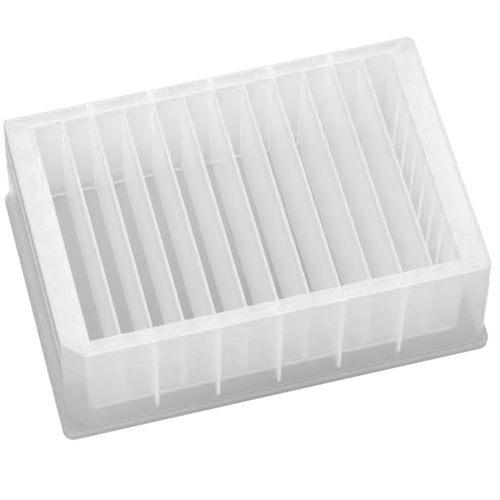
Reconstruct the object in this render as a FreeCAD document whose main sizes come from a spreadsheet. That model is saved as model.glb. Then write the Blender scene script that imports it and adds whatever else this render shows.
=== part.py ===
import FreeCAD, Part
import os
import re
import Sketcher

# Twelve-channel reagent reservoir on a microplate footprint, one injection moulding.
# Origin: centre of the footprint, on the surface that the plate stands on.
# X runs across the twelve channels, Y along them, Z up. Millimetres and degrees.

SIZES = {
    # microplate grid: the channels stand on its columns and span its rows
    "channel_count": 12,
    "row_count": 8,
    "channel_pitch": 9.0,
    # flange round the foot, which drops into a plate nest
    "end_margin": 9.88,
    "side_margin": 6.74,
    "foot_radius": 3.18,
    "flange_height": 2.6,
    "flange_wall": 1.2,
    "flange_roof": 1.0,
    "flange_round": 0.35,
    # low step that joins the flange to the outer wall
    "step_inset": 1.1,
    "step_height": 0.7,
    "step_radius": 1.6,
    # drafted outer wall, with a shallow recessed band along its top
    "overall_height": 44.0,
    "wall_inset_ends": 0.63,
    "wall_inset_sides": 0.14,
    "wall_draft": 0.5,
    "skirt_wall": 1.0,
    "band_height": 10.5,
    "band_recess": 0.15,
    "band_wall": 1.3,
    "corner_cut": 6.2,
    "cut_corner_round": 1.2,
    "left_corner_round": 0.9,
    "right_corner_round": 2.4,
    # rim: a lip round a sunken deck
    "lip_width": 0.8,
    "lip_round": 0.35,
    "deck_drop": 1.0,
    "deck_thickness": 1.2,
    # block of channels, hung from the deck
    "channel_overrun": 0.15,
    "channel_draft": 0.7,
    "mouth_bevel": 0.2,
    "partition_top": 0.9,
    "side_wall": 1.5,
    "end_wall": 1.1,
    "block_draft": 0.5,
    "block_foot": 4.8,
    # hopper-shaped trough at the foot of each channel
    "shoulder_height": 6.0,
    "trough_height": 3.6,
    "trough_flat": 1.0,
    "trough_end_run": 2.2,
    # keel that carries the trough under the block
    "keel_foot": 2.4,
    "keel_flat": 1.8,
    "keel_end_run": 2.4,
    "keel_gap": 0.4,
    # boss where the moulding was gated
    "gate_radius": 2.2,
    "gate_top": 6.4,
    "gate_foot": 2.9,
    # webs that tie the block to the outer wall
    "long_web_foot": 5.0,
    "outer_web_foot": 6.9,
    "short_web_foot": 5.0,
    "short_web_top_thickness": 1.4,
    "web_top_thickness": 1.8,
    "web_foot_thickness": 0.9,
    "corner_web": 1.6,
    # small ribs at the foot of the outer wall
    "toe_rib_depth": 1.0,
    "toe_rib_foot": 1.8,
    "nest_rib": 1.2,
    "nest_rib_from_end": 10.88,
    "nest_rib_from_side": 14.74,
}

# ------------------------------------------------------- places worked out from the sizes
FOOT_X = "(channel_count * channel_pitch / 2 + end_margin)"
FOOT_Y = "(row_count * channel_pitch / 2 + side_margin)"
BODY_X = f"({FOOT_X} - step_inset - wall_inset_ends)"
BODY_Y = f"({FOOT_Y} - step_inset - wall_inset_sides)"
STEP_TOP = "(flange_height + step_height)"
BAND_FOOT = "(overall_height - band_height)"
DECK_UNDER = "(overall_height - deck_drop - deck_thickness)"

WALL_RISE = f"({BAND_FOOT} - {STEP_TOP})"
BAND_SHRINK = f"({WALL_RISE} * tan(wall_draft) + band_recess)"
RIM_SHRINK = f"({BAND_SHRINK} + band_height * tan(wall_draft))"

CAVITY_X = "(channel_count * channel_pitch / 2 - partition_top / 2)"
CAVITY_Y = "(row_count * channel_pitch / 2 + channel_overrun)"
BLOCK_X = f"({CAVITY_X} + side_wall)"
BLOCK_Y = f"({CAVITY_Y} + end_wall)"
BLOCK_RISE = "(overall_height - block_foot)"
BLOCK_FOOT_Y = f"({BLOCK_Y} - {BLOCK_RISE} * tan(block_draft))"

FIRST_CHANNEL = "(channel_pitch * (1 - channel_count) / 2)"
MOUTH_X = "((channel_pitch - partition_top) / 2)"
CHANNEL_DEPTH = "(overall_height - shoulder_height)"
SHOULDER_X = f"({MOUTH_X} - {CHANNEL_DEPTH} * tan(channel_draft))"
SHOULDER_Y = f"({CAVITY_Y} - {CHANNEL_DEPTH} * tan(channel_draft))"


def bound(formula):
    """The formula with each size written as a cell of the sheet."""
    return re.sub(r"[a-z_]+", lambda word: "sizes." + word[0] if word[0] in SIZES else word[0], formula)


def fill_sheet(document):
    sheet = document.addObject("Spreadsheet::Sheet", "sizes")
    for row, (name, value) in enumerate(SIZES.items(), start=1):
        sheet.set(f"A{row}", name)
        sheet.set(f"B{row}", str(value))
        sheet.setAlias(f"B{row}", name)
    return sheet


def origin_feature(body, role):
    return next(item for item in body.Origin.OriginFeatures if item.Role == role)


def level_sketch(body, name, height):
    """An empty sketch that looks down on the plate, at the given height."""
    sketch = body.newObject("Sketcher::SketchObject", name)
    sketch.AttachmentSupport = [(origin_feature(body, "XY_Plane"), "")]
    sketch.MapMode = "FlatFace"
    sketch.setExpression(".AttachmentOffset.Base.z", bound(height))
    return sketch


def pin(sketch, edge, end, across, along):
    """Holds one end of an edge at a place given by two formulas."""
    point = sketch.getPoint(edge, end)
    for kind, start, formula in (("DistanceX", point.x, across), ("DistanceY", point.y, along)):
        index = sketch.addConstraint(Sketcher.Constraint(kind, -1, 1, edge, end, start))
        sketch.setExpression(f"Constraints[{index}]", bound(formula))


def draw_polygon(sketch, corners, guess=((-1, -1), (1, -1), (1, 1), (-1, 1), (-2, 0))):
    """A closed outline through corners, each one a pair of formulas."""
    start = [FreeCAD.Vector(x, y, 0) for x, y in guess[:len(corners)]]
    edges = [
        sketch.addGeometry(Part.LineSegment(start[i - 1], start[i]), False)
        for i in range(len(corners))
    ]
    for i, edge in enumerate(edges):
        sketch.addConstraint(Sketcher.Constraint("Coincident", edges[i - 1], 2, edge, 1))
    for i, edge in enumerate(edges):
        pin(sketch, edge, 2, *corners[i])


def draw_rectangle(sketch, west, east, south, north):
    draw_polygon(sketch, [(west, south), (east, south), (east, north), (west, north)])


def draw_centred(sketch, half_x, half_y):
    draw_rectangle(sketch, f"-{half_x}", half_x, f"-{half_y}", half_y)


def draw_body_outline(sketch, inset):
    """The outer wall's outline, moved in by inset: a rectangle with its front left corner cut."""
    half_x = f"({BODY_X} - {inset})"
    half_y = f"({BODY_Y} - {inset})"
    # a cut at 45 degrees keeps its face-to-face distance when it shortens by (2 - sqrt 2) of the inset
    cut = f"(corner_cut - {inset} * (2 - sqrt(2)))"
    draw_polygon(sketch, [
        (f"-{half_x} + {cut}", f"-{half_y}"),
        (half_x, f"-{half_y}"),
        (half_x, half_y),
        (f"-{half_x}", half_y),
        (f"-{half_x}", f"-{half_y} + {cut}"),
    ])


def extrude(body, kind, name, sketch, length, taper="0", reverse=False):
    feature = body.newObject(f"PartDesign::{kind}", name)
    feature.Profile = sketch
    feature.Reversed = reverse
    feature.setExpression("Length", bound(length))
    feature.setExpression("TaperAngle", bound(taper))
    body.Document.recompute()
    return feature


def loft(body, kind, name, first, last):
    feature = body.newObject(f"PartDesign::{kind}Loft", name)
    feature.Profile = first
    feature.Sections = [last]
    feature.Ruled = True
    body.Document.recompute()
    return feature


def levels(feature):
    """Heights of the foot and the top of an extruded feature."""
    start = feature.Profile[0].Placement.Base.z
    upward = feature.Reversed == ("Pocket" in feature.TypeId)
    return sorted((start, start + (1 if upward else -1) * feature.Length.Value))


def upright(edge):
    return edge.BoundBox.ZLength > 0.01


def edges_between(feature, low, high, wanted=upright):
    """Names of the edges of feature that reach exactly from one height to another."""
    return [
        f"Edge{number}" for number, edge in enumerate(feature.Shape.Edges, start=1)
        if abs(edge.BoundBox.ZMin - low) < 0.01
        and abs(edge.BoundBox.ZMax - high) < 0.01
        and wanted(edge)
    ]


def round_edges(body, name, base, names, radius):
    feature = body.newObject("PartDesign::Fillet", name)
    feature.Base = (base, names)
    feature.setExpression("Radius", bound(radius))
    body.Document.recompute()
    return feature


def repeat(body, name, originals, role, pitch, count):
    """Copies of features in a row, one pitch apart."""
    feature = body.newObject("PartDesign::LinearPattern", name)
    feature.Originals = originals
    feature.Direction = (origin_feature(body, role), [""])
    feature.setExpression("Length", bound(f"{pitch} * ({count} - 1)"))
    feature.setExpression("Occurrences", bound(count))
    body.Tip = feature
    body.Document.recompute()
    return feature


def right_side(edge):
    return edge.CenterOfMass.x > 0


def back_left(edge):
    return edge.CenterOfMass.x < 0 < edge.CenterOfMass.y


def front_left(edge):
    return edge.CenterOfMass.x < 0 and edge.CenterOfMass.y < 0


def rim_edges(feature, height):
    """Names of the edges round the outside of the level face at a height."""
    rim = next(
        face for face in feature.Shape.Faces
        if face.BoundBox.ZLength < 0.01 and abs(face.BoundBox.ZMin - height) < 0.01
    )
    return [
        f"Edge{number}" for number, edge in enumerate(feature.Shape.Edges, start=1)
        if any(edge.isSame(outer) for outer in rim.OuterWire.Edges)
    ]


def build_wall(body):
    """Flange, step and drafted outer wall, solid as yet, with their corners rounded."""
    foot = level_sketch(body, "foot_outline", "0")
    draw_centred(foot, FOOT_X, FOOT_Y)
    flange = extrude(body, "Pad", "flange", foot, "flange_height")
    outline = level_sketch(body, "step_outline", "flange_height")
    draw_centred(outline, f"({FOOT_X} - step_inset)", f"({FOOT_Y} - step_inset)")
    step = extrude(body, "Pad", "step", outline, "step_height")

    outline = level_sketch(body, "wall_outline", STEP_TOP)
    draw_body_outline(outline, "0")
    wall = extrude(body, "Pad", "outer_wall", outline, WALL_RISE, "-wall_draft")
    outline = level_sketch(body, "band_outline", BAND_FOOT)
    draw_body_outline(outline, BAND_SHRINK)
    band = extrude(body, "Pad", "rim_band", outline, "band_height", "-wall_draft")

    solid = band
    for name, parts, place, radius in (
        ("right_corners", (wall, band), right_side, "right_corner_round"),
        ("back_left_corner", (wall, band), back_left, "left_corner_round"),
        ("cut_corner", (wall, band), front_left, "cut_corner_round"),
        ("step_corners", (step,), upright, "step_radius"),
        ("flange_corners", (flange,), upright, "foot_radius"),
    ):
        corners = [edge for part in parts for edge in edges_between(solid, *levels(part), place)]
        solid = round_edges(body, name, solid, corners, radius)
    round_edges(body, "flange_edge", solid, rim_edges(solid, levels(flange)[1]), "flange_round")


def hollow_wall(body):
    """Opens the moulding from below, and sinks the deck inside the lip."""
    outline = level_sketch(body, "nest_hollow_outline", "0")
    draw_centred(outline, f"({FOOT_X} - flange_wall)", f"({FOOT_Y} - flange_wall)")
    extrude(body, "Pocket", "nest_hollow", outline, "flange_height - flange_roof", reverse=True)

    outline = level_sketch(body, "skirt_hollow_outline", "flange_height - flange_roof")
    draw_body_outline(outline, "skirt_wall")
    rise = f"{BAND_FOOT} - flange_height + flange_roof"
    skirt = extrude(body, "Pocket", "skirt_hollow", outline, rise, "-wall_draft", reverse=True)
    corners = edges_between(skirt, *levels(skirt), right_side)
    round_edges(body, "skirt_hollow_corners", skirt, corners, "right_corner_round - skirt_wall")

    outline = level_sketch(body, "band_hollow_outline", BAND_FOOT)
    draw_body_outline(outline, f"({BAND_SHRINK} + band_wall)")
    rise = f"{DECK_UNDER} - {BAND_FOOT}"
    under = extrude(body, "Pocket", "band_hollow", outline, rise, "-wall_draft", reverse=True)
    corners = edges_between(under, *levels(under), right_side)
    round_edges(body, "band_hollow_corners", under, corners, "right_corner_round - band_wall")

    outline = level_sketch(body, "deck_outline", "overall_height")
    draw_body_outline(outline, f"({RIM_SHRINK} + lip_width)")
    deck = extrude(body, "Pocket", "deck", outline, "deck_drop")
    corners = edges_between(deck, *levels(deck), right_side)
    lip = round_edges(body, "deck_corners", deck, corners, "right_corner_round - lip_width")
    round_edges(body, "lip_edge", lip, rim_edges(lip, levels(deck)[1]), "lip_round")


def add_block(body):
    """The block of channels, solid as yet, with a keel under each channel."""
    outline = level_sketch(body, "block_outline", "overall_height")
    draw_centred(outline, BLOCK_X, BLOCK_Y)
    extrude(body, "Pad", "block", outline, BLOCK_RISE, "-block_draft", reverse=True)

    foot = level_sketch(body, "keel_root", "block_foot")
    half = "((channel_pitch - keel_gap) / 2)"
    sides = (f"{FIRST_CHANNEL} - {half}", f"{FIRST_CHANNEL} + {half}")
    draw_rectangle(foot, *sides, f"-{BLOCK_FOOT_Y}", BLOCK_FOOT_Y)
    flat = level_sketch(body, "keel_flat_outline", "keel_foot")
    reach = f"({BLOCK_FOOT_Y} - keel_end_run)"
    sides = (f"{FIRST_CHANNEL} - keel_flat / 2", f"{FIRST_CHANNEL} + keel_flat / 2")
    draw_rectangle(flat, *sides, f"-{reach}", reach)
    keel = loft(body, "Additive", "keel", foot, flat)
    repeat(body, "keels", [keel], "X_Axis", "channel_pitch", "channel_count")


def add_long_web(body, name, across, foot):
    """A web that runs from front wall to back wall through the block, and swells towards the rim."""
    bottom = level_sketch(body, name + "_foot", foot)
    half = "web_foot_thickness / 2"
    reach = f"({BODY_Y} - skirt_wall / 2)"
    draw_rectangle(bottom, f"{across} - {half}", f"{across} + {half}", f"-{reach}", reach)
    top = level_sketch(body, name + "_top", "overall_height")
    half = "web_top_thickness / 2"
    reach = f"({BODY_Y} - {RIM_SHRINK} - lip_width / 2)"
    draw_rectangle(top, f"{across} - {half}", f"{across} + {half}", f"-{reach}", reach)
    return loft(body, "Additive", name, bottom, top)


def add_webs(body):
    """Webs that tie the block to the outer wall: they run through it until the channels are cut."""
    inner = add_long_web(body, "inner_web", "-2 * channel_pitch", "long_web_foot")
    repeat(body, "inner_webs", [inner], "X_Axis", "2 * channel_pitch", "3")
    outer = add_long_web(body, "outer_web", "-4 * channel_pitch", "outer_web_foot")
    repeat(body, "outer_webs", [outer], "X_Axis", "8 * channel_pitch", "2")

    first = "(channel_pitch * (2 - row_count) / 2)"
    bottom = level_sketch(body, "short_web_foot_outline", "short_web_foot")
    half = "web_foot_thickness / 2"
    reach = f"({BODY_X} - skirt_wall / 2)"
    draw_rectangle(bottom, f"-{reach}", reach, f"{first} - {half}", f"{first} + {half}")
    top = level_sketch(body, "short_web_top_outline", f"({DECK_UNDER} + deck_thickness / 2)")
    half = "short_web_top_thickness / 2"
    reach = f"({BODY_X} - {BAND_SHRINK} - band_wall / 2)"
    draw_rectangle(top, f"-{reach}", reach, f"{first} - {half}", f"{first} + {half}")
    web = loft(body, "Additive", "short_web", bottom, top)
    repeat(body, "short_webs", [web], "Y_Axis", "channel_pitch", "(row_count - 1)")


def add_corner_webs(body):
    """A web from each corner of the block to the corner of the lip, up to the rim."""
    outline = level_sketch(body, "corner_web_outline", BAND_FOOT)
    inset = f"({RIM_SHRINK} + lip_width / 2)"
    lip_x = f"({BODY_X} - {inset})"
    lip_y = f"({BODY_Y} - {inset})"
    start = [
        (f"({BLOCK_X} - corner_web)", f"({BLOCK_Y} - end_wall / 2)"),
        (f"({BLOCK_X} - side_wall / 2)", f"({BLOCK_Y} - corner_web)"),
    ]
    # in a square corner the end is blunt, so that it stays inside the rounding
    square = [
        (lip_x, f"({lip_y} - corner_web)"),
        (f"({lip_x} - right_corner_round / 4)", f"({lip_y} - right_corner_round / 4)"),
        (f"({lip_x} - corner_web)", lip_y),
    ]
    # at the cut corner the web meets the cut squarely
    run = f"(({BODY_X} + {BODY_Y} - corner_cut - sqrt(2) * {inset} - {BLOCK_X} - {BLOCK_Y}) / 2)"
    cut = [
        (f"({BLOCK_X} + {run} + corner_web / 2)", f"({BLOCK_Y} + {run} - corner_web / 2)"),
        (f"({BLOCK_X} + {run} - corner_web / 2)", f"({BLOCK_Y} + {run} + corner_web / 2)"),
    ]
    for side, end, finish in ((1, 1, square), (1, -1, square), (-1, 1, square), (-1, -1, cut)):
        draw_polygon(outline, [(f"{side} * {x}", f"{end} * {y}") for x, y in start + finish])
    extrude(body, "Pad", "corner_webs", outline, "band_height")


def cut_channels(body):
    """Drafted channels with a bevelled mouth and a hopper-shaped trough at the foot."""
    centre = FIRST_CHANNEL

    def draw(outline, half_x, half_y):
        draw_rectangle(outline, f"{centre} - {half_x}", f"{centre} + {half_x}", f"-{half_y}", half_y)

    mouth = level_sketch(body, "mouth_outline", "overall_height")
    draw(mouth, f"({MOUTH_X} + mouth_bevel)", f"({CAVITY_Y} + mouth_bevel)")
    mouth = extrude(body, "Pocket", "mouth", mouth, "mouth_bevel", "-45")
    sides = level_sketch(body, "channel_outline", "overall_height")
    draw(sides, MOUTH_X, CAVITY_Y)
    channel = extrude(body, "Pocket", "channel", sides, CHANNEL_DEPTH, "-channel_draft")
    shoulder = level_sketch(body, "shoulder_outline", "shoulder_height")
    draw(shoulder, SHOULDER_X, SHOULDER_Y)
    floor = level_sketch(body, "trough_outline", "trough_height")
    draw(floor, "(trough_flat / 2)", f"({SHOULDER_Y} - trough_end_run)")
    trough = loft(body, "Subtractive", "trough", shoulder, floor)
    repeat(body, "channels", [mouth, channel, trough], "X_Axis", "channel_pitch", "channel_count")


def add_small_ribs(body):
    """Gate boss, ribs at the foot of the long walls, and ribs inside the flange."""
    disc = level_sketch(body, "gate_outline", "gate_foot")
    circle = disc.addGeometry(Part.Circle(FreeCAD.Vector(0, 0, 0), FreeCAD.Vector(0, 0, 1), 1), False)
    disc.addConstraint(Sketcher.Constraint("Coincident", circle, 3, -1, 1))
    index = disc.addConstraint(Sketcher.Constraint("Radius", circle, 1))
    disc.setExpression(f"Constraints[{index}]", bound("gate_radius"))
    extrude(body, "Pad", "gate_boss", disc, "gate_top - gate_foot")

    toes = level_sketch(body, "toe_rib_outline", "toe_rib_foot")
    outside = f"({BODY_Y} - skirt_wall / 2)"
    inside = f"({BODY_Y} - skirt_wall - toe_rib_depth)"
    half = "web_foot_thickness / 2"
    for side in (-4, 4):
        middle = f"{side} * channel_pitch"
        draw_rectangle(toes, f"{middle} - {half}", f"{middle} + {half}", inside, outside)
        draw_rectangle(toes, f"{middle} - {half}", f"{middle} + {half}", f"-{outside}", f"-{inside}")
    extrude(body, "Pad", "toe_ribs", toes, "outer_web_foot - toe_rib_foot")

    ribs = level_sketch(body, "nest_rib_outline", "0")
    half = "nest_rib / 2"
    rib_x = f"({FOOT_X} - nest_rib_from_end)"
    rib_y = f"({FOOT_Y} - nest_rib_from_side)"
    for side in (-1, 1):
        ends = [f"{side} * ({FOOT_X} - flange_wall / 2)", f"{side} * ({BODY_X} - skirt_wall / 2)"]
        draw_rectangle(ribs, *ends, f"-{rib_y} - {half}", f"-{rib_y} + {half}")
        draw_rectangle(ribs, *ends, f"{rib_y} - {half}", f"{rib_y} + {half}")
        ends = [f"{side} * ({FOOT_Y} - flange_wall / 2)", f"{side} * ({BODY_Y} - skirt_wall / 2)"]
        draw_rectangle(ribs, f"-{rib_x} - {half}", f"-{rib_x} + {half}", *ends)
        draw_rectangle(ribs, f"{rib_x} - {half}", f"{rib_x} + {half}", *ends)
    extrude(body, "Pad", "nest_ribs", ribs, "flange_height - flange_roof / 2")


document = FreeCAD.newDocument("reagent_reservoir")
fill_sheet(document)
document.recompute()
reservoir = document.addObject("PartDesign::Body", "reservoir_body")
reservoir.Label = "reservoir_body"
reservoir.Placement = FreeCAD.Placement()

build_wall(reservoir)
hollow_wall(reservoir)
add_block(reservoir)
add_webs(reservoir)
add_corner_webs(reservoir)
cut_channels(reservoir)
add_small_ribs(reservoir)

document.recompute()
for item in document.Objects:
    if {"Invalid", "Error"} & set(item.State):
        raise RuntimeError(f"{item.Label} did not build: {item.State}")
shape = reservoir.Shape
if shape.isNull() or not shape.isValid() or len(shape.Solids) != 1:
    raise RuntimeError("the reservoir is not one valid solid")

os.makedirs("parts", exist_ok=True)
shape.exportStep("parts/reservoir_body.step")
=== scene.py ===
import math

import bpy
import numpy as np
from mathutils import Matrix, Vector


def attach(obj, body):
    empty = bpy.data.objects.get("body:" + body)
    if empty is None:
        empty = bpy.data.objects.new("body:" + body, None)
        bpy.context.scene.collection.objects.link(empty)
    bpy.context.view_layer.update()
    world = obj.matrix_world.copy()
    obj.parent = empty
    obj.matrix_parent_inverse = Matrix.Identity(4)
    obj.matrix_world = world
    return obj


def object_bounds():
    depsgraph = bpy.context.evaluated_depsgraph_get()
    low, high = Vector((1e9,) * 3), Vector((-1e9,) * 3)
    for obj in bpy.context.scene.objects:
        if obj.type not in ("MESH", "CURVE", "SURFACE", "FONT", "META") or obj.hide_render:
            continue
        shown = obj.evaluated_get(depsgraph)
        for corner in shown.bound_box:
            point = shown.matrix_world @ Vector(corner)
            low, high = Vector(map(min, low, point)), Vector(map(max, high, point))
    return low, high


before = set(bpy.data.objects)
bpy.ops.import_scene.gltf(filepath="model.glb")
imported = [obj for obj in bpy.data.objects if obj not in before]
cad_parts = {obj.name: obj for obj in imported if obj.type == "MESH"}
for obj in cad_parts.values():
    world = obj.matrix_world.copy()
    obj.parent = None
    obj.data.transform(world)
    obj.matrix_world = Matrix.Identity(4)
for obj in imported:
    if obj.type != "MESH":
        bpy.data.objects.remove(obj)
cad_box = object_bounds()

# ---------------------------------------------------------------- camera
# A long lens about 0.85 m away looks down over the front left corner of the reservoir, from
# nearly sixty degrees above the bench, so that every trough is seen to its floor.
camera_data = bpy.data.cameras.new("camera")
camera_data.lens = 203.6
camera_data.sensor_width = 36.0
camera_data.clip_start = 0.05
camera_data.clip_end = 10.0
camera = bpy.data.objects.new("camera", camera_data)
camera.location = (-0.11320, -0.41015, 0.72794)
camera.rotation_euler = (math.radians(30.7213), math.radians(-0.6730), math.radians(-14.5484))
bpy.context.scene.collection.objects.link(camera)
bpy.context.scene.camera = camera

# ---------------------------------------------------------------- studio
# A paper bench under a soft sky, which is brightest low down and to the right, and three broad
# lamps: above, in front and behind. The bench looks clean white to the eye. Where it is seen through
# the plastic it shows its own grey with a painted shadow of the reservoir, darkest towards its front.
studio = bpy.context.scene
studio.view_settings.view_transform = "Standard"
studio.cycles.max_bounces = 40
studio.cycles.transmission_bounces = 40
studio.cycles.diffuse_bounces = 10
studio.cycles.glossy_bounces = 10
studio.cycles.transparent_max_bounces = 64

SKY_LEFT = 0.22
SKY_RIGHT = 0.50
SKY_OVERHEAD = 0.12

sky = bpy.data.worlds.new("sky")
sky.use_nodes = True
nodes, links = sky.node_tree.nodes, sky.node_tree.links
direction = nodes.new("ShaderNodeTexCoord")
upward = nodes.new("ShaderNodeSeparateXYZ")
side = nodes.new("ShaderNodeMapRange")
side.inputs["From Min"].default_value = -1.0
side.inputs["To Min"].default_value = SKY_LEFT
side.inputs["To Max"].default_value = SKY_RIGHT
fade = nodes.new("ShaderNodeMapRange")
fade.inputs["From Max"].default_value = 0.8
fade.inputs["To Max"].default_value = SKY_OVERHEAD
links.new(direction.outputs["Generated"], upward.inputs["Vector"])
links.new(upward.outputs["X"], side.inputs["Value"])
links.new(side.outputs["Result"], fade.inputs["To Min"])
links.new(upward.outputs["Z"], fade.inputs["Value"])
links.new(fade.outputs["Result"], nodes["Background"].inputs["Color"])
studio.world = sky


def softbox(name, place, side, power):
    """A square area lamp of the given side, at place and turned towards the middle of the bench."""
    light = bpy.data.lights.new(name, "AREA")
    light.shape = "SQUARE"
    light.size = side
    light.energy = power
    lamp = bpy.data.objects.new(name, light)
    lamp.location = place
    lamp.rotation_euler = Vector(place).to_track_quat("Z", "Y").to_euler()
    studio.collection.objects.link(lamp)


softbox("overhead_lamp", place=(0.0, 0.0, 1.1), side=0.7, power=3.5)
softbox("front_lamp", place=(-0.3, -0.8, 0.7), side=0.7, power=3.6)
softbox("back_lamp", place=(0.0, 0.65, 0.7), side=0.7, power=2.4)


def bench_top(side, steps):
    """A level square grid of the given side round the origin, with steps squares along each side."""
    line = np.linspace(-side / 2, side / 2, steps + 1)
    across, along = np.meshgrid(line, line)
    points = np.stack([across, along, np.zeros_like(across)], axis=-1).reshape(-1, 3)
    first = np.arange(steps * (steps + 1)).reshape(steps, steps + 1)[:, :-1].ravel()
    squares = np.stack([first, first + 1, first + steps + 2, first + steps + 1], axis=-1)
    mesh = bpy.data.meshes.new("bench")
    mesh.from_pydata(points.tolist(), [], squares.tolist())
    return mesh


def group_socket(group, name, way, kind, value=None):
    """A named input or output of a node group, with its starting value."""
    socket = group.interface.new_socket(name=name, in_out=way, socket_type=kind)
    if value is not None:
        socket.default_value = value
    return socket


def paper_with_painted_shadow():
    """Node group: the paper's grey with a painted shadow, darkest at Middle and lighter with the distance
    from it.

    The grey runs from Dark Color at the Near distance to Light Color at the Far distance.
    """
    group = bpy.data.node_groups.new("paper_with_painted_shadow", "ShaderNodeTree")
    group_socket(group, "Middle", "INPUT", "NodeSocketVector", (0.005, -0.070, 0.0))
    group_socket(group, "Near", "INPUT", "NodeSocketFloat", 0.0)
    group_socket(group, "Far", "INPUT", "NodeSocketFloat", 0.12)
    group_socket(group, "Dark Color", "INPUT", "NodeSocketColor", (0.34, 0.34, 0.34, 1.0))
    group_socket(group, "Light Color", "INPUT", "NodeSocketColor", (0.7, 0.7, 0.7, 1.0))
    group_socket(group, "Color", "OUTPUT", "NodeSocketColor")
    nodes, links = group.nodes, group.links
    into, out = nodes.new("NodeGroupInput"), nodes.new("NodeGroupOutput")
    place = nodes.new("ShaderNodeNewGeometry")
    away = nodes.new("ShaderNodeVectorMath")
    away.operation = "DISTANCE"
    ramp = nodes.new("ShaderNodeMapRange")
    ramp.interpolation_type = "SMOOTHSTEP"
    tint = nodes.new("ShaderNodeMix")
    tint.data_type = "RGBA"
    links.new(place.outputs["Position"], away.inputs[0])
    links.new(into.outputs["Middle"], away.inputs[1])
    links.new(away.outputs["Value"], ramp.inputs["Value"])
    links.new(into.outputs["Near"], ramp.inputs["From Min"])
    links.new(into.outputs["Far"], ramp.inputs["From Max"])
    links.new(ramp.outputs["Result"], tint.inputs["Factor"])
    links.new(into.outputs["Dark Color"], tint.inputs["A"])
    links.new(into.outputs["Light Color"], tint.inputs["B"])
    links.new(tint.outputs["Result"], out.inputs["Color"])
    return group


paper = bpy.data.materials.new("bench_paper")
paper.use_nodes = True
nodes, links = paper.node_tree.nodes, paper.node_tree.links
matt = nodes["Principled BSDF"]
matt.inputs["Roughness"].default_value = 0.9
shade = nodes.new("ShaderNodeGroup")
shade.node_tree = paper_with_painted_shadow()
links.new(shade.outputs["Color"], matt.inputs["Base Color"])
white = nodes.new("ShaderNodeEmission")
white.inputs["Color"].default_value = (1.0, 1.0, 1.0, 1.0)

# white for a ray straight from the camera or off a glossy face, and the paper's grey with its
# painted shadow for one that has come through the plastic
ray = nodes.new("ShaderNodeLightPath")
either = nodes.new("ShaderNodeMixShader")
seen = ray.outputs["Is Camera Ray"]
for operation, socket in (
    ("ADD", "Is Glossy Ray"),
    ("ADD", "Is Transmission Ray"),
    ("SUBTRACT", "Transparent Depth"),
):
    step = nodes.new("ShaderNodeMath")
    step.operation = operation
    links.new(seen, step.inputs[0])
    links.new(ray.outputs[socket], step.inputs[1])
    seen = step.outputs["Value"]
step.use_clamp = True
links.new(seen, either.inputs["Fac"])
links.new(matt.outputs["BSDF"], either.inputs[1])
links.new(white.outputs["Emission"], either.inputs[2])
links.new(either.outputs["Shader"], nodes["Material Output"].inputs["Surface"])
bench = bpy.data.objects.new("bench", bench_top(side=3.0, steps=6))
bench.data.materials.append(paper)
studio.collection.objects.link(bench)

# A grey card lies on the bench beside the left wall as painted shade, standing for the bench's shade
# there. The camera doesn't see it, but the wall and the flange mirror it at a grazing angle, which
# sets them off from the white bench and the rim.
CARD_LEFT, CARD_RIGHT = -0.085, -0.064
CARD_FRONT, CARD_BACK = -0.050, 0.100
CARD_LEVEL = 0.0003
CARD_SHADE_GREY = (0.4, 0.4, 0.4, 1.0)

card_sheet = bpy.data.meshes.new("shade_card")
card_sheet.from_pydata(
    [
        (CARD_LEFT, CARD_FRONT, CARD_LEVEL),
        (CARD_RIGHT, CARD_FRONT, CARD_LEVEL),
        (CARD_RIGHT, CARD_BACK, CARD_LEVEL),
        (CARD_LEFT, CARD_BACK, CARD_LEVEL),
    ],
    [],
    [(0, 1, 2, 3)],
)
painted_shade_grey = bpy.data.materials.new("painted_shade_grey")
painted_shade_grey.use_nodes = True
dull = painted_shade_grey.node_tree.nodes["Principled BSDF"]
dull.inputs["Base Color"].default_value = CARD_SHADE_GREY
dull.inputs["Roughness"].default_value = 0.9
card_sheet.materials.append(painted_shade_grey)
card = bpy.data.objects.new("shade_card", card_sheet)
card.visible_camera = False
studio.collection.objects.link(card)

# ---------------------------------------------------------------- reservoir body
# One injection moulding in natural polypropylene: flange, wall, deck, twelve troughs and webs.
# The bare resin is milky and half clear. Light that runs along a wall comes out at its edges, so
# every rim, rib and partition top shows as a whiter line. The faces have a fine satin from the mould.
EDGE_WIDTH = 0.0003
LEAST_COSINE = 0.12
RESIN_WHITE = (1.0, 1.0, 1.0, 1.0)
RESIN_STREAK = (0.97, 0.97, 0.97, 1.0)


def edge_light():
    """Node group: 1 along the moulding's outer edges, fading to 0 on its open faces.

    The normal rounded over Width is compared with the face's own. Where the two agree their dot
    product is 1 and the mask is 0. Where they part by more than Spread the mask is 1.
    """
    group = bpy.data.node_groups.new("edge_light", "ShaderNodeTree")
    group_socket(group, "Spread", "INPUT", "NodeSocketFloat", 0.2)
    group_socket(group, "Edge", "OUTPUT", "NodeSocketFloat")
    nodes, links = group.nodes, group.links
    into, out = nodes.new("NodeGroupInput"), nodes.new("NodeGroupOutput")
    rounded = nodes.new("ShaderNodeBevel")
    rounded.samples = 8
    rounded.inputs["Radius"].default_value = EDGE_WIDTH
    face = nodes.new("ShaderNodeNewGeometry")
    agree = nodes.new("ShaderNodeVectorMath")
    agree.operation = "DOT_PRODUCT"
    part = nodes.new("ShaderNodeMath")
    part.operation = "SUBTRACT"
    part.inputs[0].default_value = 1.0
    mask = nodes.new("ShaderNodeMapRange")
    mask.inputs["From Min"].default_value = 0.04
    links.new(rounded.outputs["Normal"], agree.inputs[0])
    links.new(face.outputs["Normal"], agree.inputs[1])
    links.new(agree.outputs["Value"], part.inputs[1])
    links.new(part.outputs["Value"], mask.inputs["Value"])
    links.new(into.outputs["Spread"], mask.inputs["From Max"])
    links.new(mask.outputs["Result"], out.inputs["Edge"])
    return group


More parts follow.
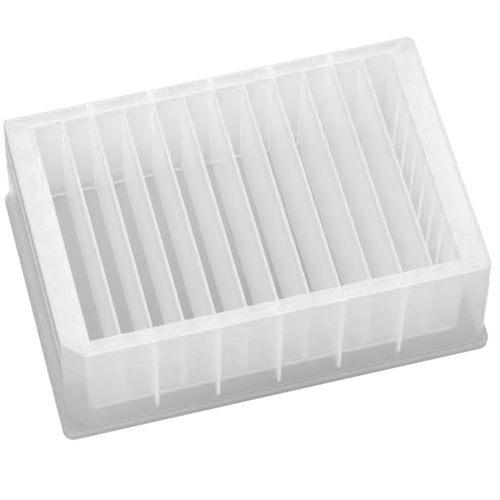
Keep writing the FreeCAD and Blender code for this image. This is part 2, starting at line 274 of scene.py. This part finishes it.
def flow_streaks():
    """Node group: faint streaks along the troughs, left by the cutter in the mould and the resin's flow.

    Streak is noise drawn out along Y, with features of Width metres across. Satin is the same
    noise ten times finer and not drawn out, for height.
    """
    group = bpy.data.node_groups.new("flow_streaks", "ShaderNodeTree")
    group_socket(group, "Width", "INPUT", "NodeSocketFloat", 0.0012)
    group_socket(group, "Clear Color", "INPUT", "NodeSocketColor", RESIN_WHITE)
    group_socket(group, "Streak Color", "INPUT", "NodeSocketColor", RESIN_STREAK)
    group_socket(group, "Color", "OUTPUT", "NodeSocketColor")
    group_socket(group, "Streak", "OUTPUT", "NodeSocketFloat")
    group_socket(group, "Satin", "OUTPUT", "NodeSocketFloat")
    nodes, links = group.nodes, group.links
    into, out = nodes.new("NodeGroupInput"), nodes.new("NodeGroupOutput")
    place = nodes.new("ShaderNodeTexCoord")
    drawn_out = nodes.new("ShaderNodeMapping")
    drawn_out.inputs["Scale"].default_value = (1.0, 0.03, 1.0)
    per_metre = nodes.new("ShaderNodeMath")
    per_metre.operation = "DIVIDE"
    per_metre.inputs[0].default_value = 1.0
    finer = nodes.new("ShaderNodeMath")
    finer.operation = "MULTIPLY"
    finer.inputs[1].default_value = 10.0
    streak = nodes.new("ShaderNodeTexNoise")
    streak.inputs["Detail"].default_value = 1.0
    satin = nodes.new("ShaderNodeTexNoise")
    satin.inputs["Detail"].default_value = 0.0
    tint = nodes.new("ShaderNodeMix")
    tint.data_type = "RGBA"
    links.new(into.outputs["Width"], per_metre.inputs[1])
    links.new(per_metre.outputs["Value"], streak.inputs["Scale"])
    links.new(per_metre.outputs["Value"], finer.inputs[0])
    links.new(finer.outputs["Value"], satin.inputs["Scale"])
    links.new(place.outputs["Object"], drawn_out.inputs["Vector"])
    links.new(drawn_out.outputs["Vector"], streak.inputs["Vector"])
    links.new(place.outputs["Object"], satin.inputs["Vector"])
    links.new(streak.outputs["Fac"], tint.inputs["Factor"])
    links.new(into.outputs["Clear Color"], tint.inputs["A"])
    links.new(into.outputs["Streak Color"], tint.inputs["B"])
    links.new(tint.outputs["Result"], out.inputs["Color"])
    links.new(streak.outputs["Fac"], out.inputs["Streak"])
    links.new(satin.outputs["Fac"], out.inputs["Satin"])
    return group


edge_group = edge_light()
streak_group = flow_streaks()


def wall_haze():
    """Node group: how much white a face adds to what is seen through it.

    Light that crosses a milky wall at a slant goes further through it, so the face's opacity is
    1 - exp(-haze / cosine), where the cosine is 1 - Facing and is never less than LEAST_COSINE.
    The haze climbs from Haze at Clear Level to Rim Haze at Rim Level, and by Crown Haze more from
    Crown Foot up to Rim Level. Edge then takes its share of the rest.
    """
    group = bpy.data.node_groups.new("wall_haze", "ShaderNodeTree")
    group_socket(group, "Haze", "INPUT", "NodeSocketFloat", 0.2)
    group_socket(group, "Rim Haze", "INPUT", "NodeSocketFloat", 0.2)
    group_socket(group, "Clear Level", "INPUT", "NodeSocketFloat", 0.0)
    group_socket(group, "Rim Level", "INPUT", "NodeSocketFloat", 0.044)
    group_socket(group, "Crown Haze", "INPUT", "NodeSocketFloat", 0.0)
    group_socket(group, "Crown Foot", "INPUT", "NodeSocketFloat", 0.0415)
    group_socket(group, "Facing", "INPUT", "NodeSocketFloat", 0.0)
    group_socket(group, "Edge", "INPUT", "NodeSocketFloat", 0.0)
    group_socket(group, "Edge Share", "INPUT", "NodeSocketFloat", 0.5)
    group_socket(group, "Opacity", "OUTPUT", "NodeSocketFloat")
    nodes, links = group.nodes, group.links
    into, out = nodes.new("NodeGroupInput"), nodes.new("NodeGroupOutput")

    def step(operation, first, second=None):
        """One sum on sockets or numbers, whose result goes on to the next."""
        node = nodes.new("ShaderNodeMath")
        node.operation = operation
        for socket, source in zip(node.inputs, (first, second)):
            if isinstance(source, bpy.types.NodeSocket):
                links.new(source, socket)
            elif source is not None:
                socket.default_value = source
        return node.outputs["Value"]

    place = nodes.new("ShaderNodeTexCoord")
    level = nodes.new("ShaderNodeSeparateXYZ")
    climb = nodes.new("ShaderNodeMapRange")
    climb.interpolation_type = "SMOOTHSTEP"
    links.new(place.outputs["Object"], level.inputs["Vector"])
    links.new(level.outputs["Z"], climb.inputs["Value"])
    links.new(into.outputs["Clear Level"], climb.inputs["From Min"])
    links.new(into.outputs["Rim Level"], climb.inputs["From Max"])
    links.new(into.outputs["Haze"], climb.inputs["To Min"])
    links.new(into.outputs["Rim Haze"], climb.inputs["To Max"])
    crown = nodes.new("ShaderNodeMapRange")
    crown.interpolation_type = "SMOOTHSTEP"
    links.new(level.outputs["Z"], crown.inputs["Value"])
    links.new(into.outputs["Crown Foot"], crown.inputs["From Min"])
    links.new(into.outputs["Rim Level"], crown.inputs["From Max"])
    links.new(into.outputs["Crown Haze"], crown.inputs["To Max"])
    cosine = step("MAXIMUM", step("SUBTRACT", 1.0, into.outputs["Facing"]), LEAST_COSINE)
    depth = step("DIVIDE", step("ADD", climb.outputs["Result"], crown.outputs["Result"]), cosine)
    clear = step("EXPONENT", step("MULTIPLY", depth, -1.0))
    kept = step("SUBTRACT", 1.0, step("MULTIPLY", into.outputs["Edge"], into.outputs["Edge Share"]))
    links.new(step("SUBTRACT", 1.0, step("MULTIPLY", clear, kept)), out.inputs["Opacity"])
    return group


haze_group = wall_haze()


def natural_polypropylene(name, haze, rim_haze, painted_glow, crown_haze=0.0, edge_share=0.0):
    """Milky resin, with the haze of its faces low down and at the rim.

    The haze is how much a wall whitens what is behind it, seen squarely, and crown_haze is what
    the last millimetres below the rim add to it. The edges take edge_share of the clear rest. The
    glow is painted light: an emission that stands for the light that has wandered through the resin
    from elsewhere.
    """
    material = bpy.data.materials.new(name)
    material.use_nodes = True
    nodes, links = material.node_tree.nodes, material.node_tree.links
    resin = nodes["Principled BSDF"]
    resin.inputs["IOR"].default_value = 1.4
    resin.inputs["Emission Color"].default_value = RESIN_WHITE
    resin.inputs["Emission Strength"].default_value = painted_glow
    edge = nodes.new("ShaderNodeGroup")
    edge.node_tree = edge_group
    flow = nodes.new("ShaderNodeGroup")
    flow.node_tree = streak_group
    slant = nodes.new("ShaderNodeLayerWeight")
    slant.inputs["Blend"].default_value = 0.5
    opacity = nodes.new("ShaderNodeGroup")
    opacity.node_tree = haze_group
    opacity.inputs["Haze"].default_value = haze
    opacity.inputs["Rim Haze"].default_value = rim_haze
    opacity.inputs["Crown Haze"].default_value = crown_haze
    opacity.inputs["Edge Share"].default_value = edge_share
    gloss = nodes.new("ShaderNodeMapRange")
    gloss.inputs["To Min"].default_value = 0.10
    gloss.inputs["To Max"].default_value = 0.16
    grain = nodes.new("ShaderNodeBump")
    grain.inputs["Strength"].default_value = 0.04
    grain.inputs["Distance"].default_value = 0.00002
    links.new(slant.outputs["Facing"], opacity.inputs["Facing"])
    links.new(edge.outputs["Edge"], opacity.inputs["Edge"])
    links.new(opacity.outputs["Opacity"], resin.inputs["Alpha"])
    links.new(flow.outputs["Color"], resin.inputs["Base Color"])
    links.new(flow.outputs["Streak"], gloss.inputs["Value"])
    links.new(gloss.outputs["Result"], resin.inputs["Roughness"])
    links.new(flow.outputs["Satin"], grain.inputs["Height"])
    links.new(grain.outputs["Normal"], resin.inputs["Normal"])
    return material


# The haze climbs with height partly because the walls and their band are thicker near the rim, and partly
# as painted light: the upper walls are whitened for the light from above that enters at the rim.
natural_resin = natural_polypropylene(
    "natural_resin", haze=0.16, rim_haze=0.30, painted_glow=0.095, crown_haze=0.4, edge_share=0.35
)
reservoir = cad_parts["reservoir_body"]
reservoir.data.materials.clear()
reservoir.data.materials.append(natural_resin)

# ---------------------------------------------------------------- thick places in the moulding
# Where a web or a partition runs into a wall, along the foot of the block and round the flange,
# the resin is many times deeper than a wall is thick, so the moulding looks white there. The roots
# and sills are made whiter still by a stronger painted glow, the side roots most. The wedges
# and the hoop below lie inside the resin. They are part of it and never come to its surface.
TROUGH_PITCH = 0.009
RIM_LEVEL = cad_box[1][2]
WALL_LEAN = math.tan(math.radians(0.5))
TROUGH_LEAN = math.tan(math.radians(0.7))
BLOCK_LEAN = (WALL_LEAN + TROUGH_LEAN) / 2
WALL_AT_FOOT = cad_box[1][1] - 0.00124
WALL_FOOT_LEVEL = 0.0033
BAND_STEP = 0.00015
END_WALL_AT_RIM = 0.0367
SIDE_WALL_AT_RIM = 0.0543
WEB_FOOT = 0.0050
WEB_HALF_AT_FOOT = 0.00045
ROOT_TOP = RIM_LEVEL - 0.0005
IN_BLOCK_WALL = 0.0003

# painted light: these resins glow more than the walls' resin, and the side roots most of all
deep_resin = natural_polypropylene("deep_resin", haze=0.50, rim_haze=0.50, painted_glow=0.12)
root_resin = natural_polypropylene("root_resin", haze=0.80, rim_haze=0.80, painted_glow=0.17)
side_root_resin = natural_polypropylene("side_root_resin", haze=0.80, rim_haze=0.80, painted_glow=0.22)
foot_resin = natural_polypropylene("foot_resin", haze=0.20, rim_haze=0.0, painted_glow=0.02)


def wedges(name, foot, top, material):
    """One mesh of wedges, each a level rectangle at its foot, joined by flat sides to one at its top.

    Each row of foot and top is a rectangle's two ends across, its two ends along, and its level.
    """
    def corners(level):
        """The four corners of each rectangle, in turn, seen from above."""
        left, right, front, back, height = level.T
        ring = [left, front, height, right, front, height, right, back, height, left, back, height]
        return np.stack(ring, axis=-1).reshape(-1, 4, 3)

    points = np.concatenate([corners(foot), corners(top)], axis=1)
    sides = np.array([[3, 2, 1, 0], [4, 5, 6, 7], [0, 1, 5, 4], [1, 2, 6, 5], [2, 3, 7, 6], [3, 0, 4, 7]])
    faces = (np.arange(len(points))[:, None, None] * 8 + sides).reshape(-1, 4)
    mesh = bpy.data.meshes.new(name)
    mesh.from_pydata(points.reshape(-1, 3).tolist(), [], faces.tolist())
    mesh.materials.append(material)
    piece = bpy.data.objects.new(name, mesh)
    studio.collection.objects.link(piece)
    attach(piece, "root")
    return piece


def rectangles(across, half_width, nearest, furthest, level):
    """Rows for wedges(): rectangles about across, from nearest to furthest along, at one level."""
    ends = np.broadcast_arrays(across - half_width, across + half_width, nearest, furthest, level)
    return np.stack(ends, axis=-1).astype(float)


def outer_wall_face(level):
    """How far the outer wall's face stands from the middle at a level, below the band's step."""
    return WALL_AT_FOOT - (level - WALL_FOOT_LEVEL) * WALL_LEAN


# where the five long webs meet the front wall and the back wall
OUTER_WEB_FOOT = 0.0069
LONG_WEB_HALF_AT_RIM = 0.00088
BELOW_FACE = 0.00055
IN_OUTER_WALL = 0.0002

webs = np.tile(np.array([-4, -2, 0, 2, 4]) * TROUGH_PITCH, 2)
web_feet = np.where(np.abs(webs) > 3 * TROUGH_PITCH, OUTER_WEB_FOOT, WEB_FOOT)
side = np.repeat([-1.0, 1.0], 5)
wall_foot = side * (outer_wall_face(web_feet) - BELOW_FACE)
wall_rim = side * (outer_wall_face(RIM_LEVEL) - BAND_STEP - BELOW_FACE)
wedges(
    "web_roots",
    rectangles(webs, WEB_HALF_AT_FOOT, wall_foot - IN_OUTER_WALL, wall_foot + IN_OUTER_WALL, web_feet),
    rectangles(webs, LONG_WEB_HALF_AT_RIM, wall_rim - IN_OUTER_WALL, wall_rim + IN_OUTER_WALL, ROOT_TOP),
    root_resin,
)

# where the seven short webs on each side meet the block's side walls
SHORT_ROOT_TOP = RIM_LEVEL - 0.0024
SHORT_WEB_HALF_AT_RIM = 0.00070

short_webs = np.tile(np.arange(-3, 4) * TROUGH_PITCH, 2)
side = np.repeat([-1.0, 1.0], 7)
side_rim = side * SIDE_WALL_AT_RIM
side_foot = side * (SIDE_WALL_AT_RIM - (RIM_LEVEL - WEB_FOOT) * BLOCK_LEAN)
half_foot, half_rim = WEB_HALF_AT_FOOT, SHORT_WEB_HALF_AT_RIM
wedges(
    "short_web_roots",
    rectangles(side_foot, IN_BLOCK_WALL, short_webs - half_foot, short_webs + half_foot, WEB_FOOT),
    rectangles(side_rim, IN_BLOCK_WALL, short_webs - half_rim, short_webs + half_rim, SHORT_ROOT_TOP),
    side_root_resin,
)

# where the eleven partitions meet the troughs' end walls
PARTITION_TOP = 0.0009
SHOULDER_LEVEL = 0.0060

partitions = np.tile(np.arange(-5, 6) * TROUGH_PITCH, 2)
side = np.repeat([-1.0, 1.0], 11)
depth = RIM_LEVEL - SHOULDER_LEVEL
end_rim = side * END_WALL_AT_RIM
end_shoulder = side * (END_WALL_AT_RIM - depth * BLOCK_LEAN)
half_shoulder = PARTITION_TOP / 2 + depth * TROUGH_LEAN
near_shoulder, far_shoulder = end_shoulder - IN_BLOCK_WALL, end_shoulder + IN_BLOCK_WALL
near_rim, far_rim = end_rim - IN_BLOCK_WALL, end_rim + IN_BLOCK_WALL
wedges(
    "partition_roots",
    rectangles(partitions, half_shoulder, near_shoulder, far_shoulder, SHOULDER_LEVEL),
    rectangles(partitions, PARTITION_TOP / 2, near_rim, far_rim, ROOT_TOP),
    deep_resin,
)

# along the foot of the block's front wall and back wall
BLOCK_FOOT = 0.0048
SILL_FOOT = BLOCK_FOOT + 0.00005
SILL_TOP = BLOCK_FOOT + 0.0008
SILL_REACH = 0.0539
SILL_HALF = 0.00025

end_foot = np.array([-1.0, 1.0]) * (END_WALL_AT_RIM - (RIM_LEVEL - WEB_FOOT) * BLOCK_LEAN)
wedges(
    "block_sills",
    rectangles(0.0, SILL_REACH, end_foot - SILL_HALF, end_foot + SILL_HALF, SILL_FOOT),
    rectangles(0.0, SILL_REACH, end_foot - SILL_HALF, end_foot + SILL_HALF, SILL_TOP),
    deep_resin,
)

# inside each partition, which is twice as thick at its foot as at its top
CORE_FOOT = SHOULDER_LEVEL + 0.0002
CORE_TOP = RIM_LEVEL - 0.0040
CORE_HALF_AT_FOOT = 0.00065
CORE_HALF_AT_TOP = 0.00030
CORE_REACH_AT_FOOT = 0.0350
CORE_REACH_AT_TOP = 0.0355

cores = np.arange(-5, 6) * TROUGH_PITCH
wedges(
    "partition_cores",
    rectangles(cores, CORE_HALF_AT_FOOT, -CORE_REACH_AT_FOOT, CORE_REACH_AT_FOOT, CORE_FOOT),
    rectangles(cores, CORE_HALF_AT_TOP, -CORE_REACH_AT_TOP, CORE_REACH_AT_TOP, CORE_TOP),
    foot_resin,
)

# round the flange, where its skirt meets its roof
FLANGE_REACH = (0.06328, 0.04214)
FLANGE_CORNER = 0.00258
BAR_HALF = 0.0003
BAR_FOOT = 0.0012
BAR_TOP = 0.0023


def hoop(name, reach_out, corner, half_width, low, high, material):
    """A bar of oblong section, bent round a rectangle with round corners.

    Round the hoop, its line is a rectangle shrunk by the corner radius, plus that radius times a
    direction that turns once round. The first direction is a quarter of a step off the axis, so
    that each one has a clear quadrant. Across the hoop, the bar's corners stand half_width in and
    out of that line.
    """
    turn = np.linspace(0.0, 2 * np.pi, 65)[:-1] + np.pi / 128
    way = np.stack([np.cos(turn), np.sin(turn)], axis=-1)
    core = np.sign(way) * (np.array(reach_out) - corner)
    offset = np.array([-half_width, half_width, half_width, -half_width])
    height = np.array([low, low, high, high])
    flat = core[None] + (corner + offset)[:, None, None] * way[None]
    level = np.broadcast_to(height[:, None, None], flat.shape[:2] + (1,))
    points = np.concatenate([flat, level], axis=-1)
    bars, around = points.shape[:2]
    bar, step = np.meshgrid(np.arange(bars), np.arange(around), indexing="ij")
    after, above = (step + 1) % around, (bar + 1) % bars
    quads = np.stack([
        bar * around + step,
        bar * around + after,
        above * around + after,
        above * around + step,
    ], axis=-1).reshape(-1, 4)
    mesh = bpy.data.meshes.new(name)
    mesh.from_pydata(points.reshape(-1, 3).tolist(), [], quads.tolist())
    mesh.materials.append(material)
    piece = bpy.data.objects.new(name, mesh)
    studio.collection.objects.link(piece)
    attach(piece, "root")
    return piece


hoop("flange_core", FLANGE_REACH, FLANGE_CORNER, BAR_HALF, BAR_FOOT, BAR_TOP, foot_resin)

# ---------------------------------------------------------------- index marks on the deck
# Letters for the eight rows stand on the left of the deck and numbers for the twelve troughs
# along its back, as on any microplate. They are cut into the mould, so they stand about a fifth
# of a millimetre above the deck, in the same resin.
DECK_LEVEL = 0.043
MARK_RISE = 0.00022
MARK_SINK = 0.00004
MARK_SIZE = 0.0026
LETTERS_ACROSS = -0.0570
NUMBERS_ALONG = 0.0394

marked_resin = natural_polypropylene("marked_resin", haze=0.16, rim_haze=0.16, painted_glow=0.10, edge_share=0.6)


def raised_marks(name, words, places):
    """One mesh of short words, each centred on its place on the deck.

    A word's outline is raised by half the height both ways about its middle level, so it starts
    just inside the deck and ends above it. Its points are then moved to the place as an array.
    """
    points, faces = [], []
    for word, place in zip(words, places):
        lettering = bpy.data.curves.new(word, "FONT")
        lettering.body = word
        lettering.size = MARK_SIZE
        lettering.extrude = (MARK_RISE + MARK_SINK) / 2
        lettering.resolution_u = 4
        lettering.align_x = "CENTER"
        lettering.align_y = "CENTER"
        holder = bpy.data.objects.new(word, lettering)
        solid = bpy.data.meshes.new_from_object(holder)
        corners = np.empty(len(solid.vertices) * 3)
        solid.vertices.foreach_get("co", corners)
        middle = np.array([*place, DECK_LEVEL + (MARK_RISE - MARK_SINK) / 2])
        start = sum(len(part) for part in points)
        points.append(corners.reshape(-1, 3) + middle)
        faces.extend([start + corner for corner in face.vertices] for face in solid.polygons)
        bpy.data.objects.remove(holder)
        bpy.data.curves.remove(lettering)
        bpy.data.meshes.remove(solid)
    mesh = bpy.data.meshes.new(name)
    mesh.from_pydata(np.concatenate(points).tolist(), [], faces)
    mesh.materials.append(marked_resin)
    marks = bpy.data.objects.new(name, mesh)
    studio.collection.objects.link(marks)
    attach(marks, "root")
    return marks


rows = np.arange(8)
raised_marks("row_letters", "ABCDEFGH", [(LETTERS_ACROSS, (3.5 - row) * TROUGH_PITCH) for row in rows])
troughs = np.arange(12)
raised_marks(
    "trough_numbers",
    [str(trough + 1) for trough in troughs],
    [((trough - 5.5) * TROUGH_PITCH, NUMBERS_ALONG) for trough in troughs],
)

# ---------------------------------------------------------------- raised strip on the deck
# A long low pad along the right of the deck, where mouldings of this kind carry their marking.
# Here it is left plain. Its top is level, and its sides slope down in a small round.
STRIP_MIDDLE = (0.05875, 0.0)
STRIP_SIZE = (0.0030, 0.0560)
STRIP_RISE = 0.00020
STRIP_CORNER = 0.0004


def low_pad(name, middle, size, rise, corner):
    """A pad with round corners, as a profile carried round a rectangle.

    Round the pad, the outline is a rectangle shrunk by the corner radius, plus that radius times a
    direction that turns once round, from a quarter of a step off the axis. Up the pad, the outline
    draws in and climbs by a quarter circle, then runs level to the middle line.
    """
    turn = np.linspace(0.0, 2 * np.pi, 33)[:-1] + np.pi / 64
    reach = np.stack([np.cos(turn), np.sin(turn)], axis=-1)
    core = np.sign(reach) * (np.array(size) / 2 - corner)
    lean = np.linspace(0.0, np.pi / 2, 5)
    inset = np.concatenate([[0.0], rise * (1 - np.cos(lean)), [corner]])
    climb = np.concatenate([[-MARK_SINK], rise * np.sin(lean), [rise]])
    flat = core[None] + (corner - inset)[:, None, None] * reach[None]
    level = np.broadcast_to((DECK_LEVEL + climb)[:, None, None], flat.shape[:2] + (1,))
    points = np.concatenate([flat + np.array(middle), level], axis=-1)
    rings, around = points.shape[:2]
    ring, step = np.meshgrid(np.arange(rings - 1), np.arange(around), indexing="ij")
    after = (step + 1) % around
    quads = np.stack([
        ring * around + step,
        ring * around + after,
        (ring + 1) * around + after,
        (ring + 1) * around + step,
    ], axis=-1).reshape(-1, 4)
    lids = [list(range((rings - 1) * around, rings * around)), list(range(around))[::-1]]
    mesh = bpy.data.meshes.new(name)
    mesh.from_pydata(points.reshape(-1, 3).tolist(), [], quads.tolist() + lids)
    mesh.materials.append(marked_resin)
    pad = bpy.data.objects.new(name, mesh)
    studio.collection.objects.link(pad)
    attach(pad, "root")
    return pad


low_pad("marking_strip", STRIP_MIDDLE, STRIP_SIZE, STRIP_RISE, STRIP_CORNER)
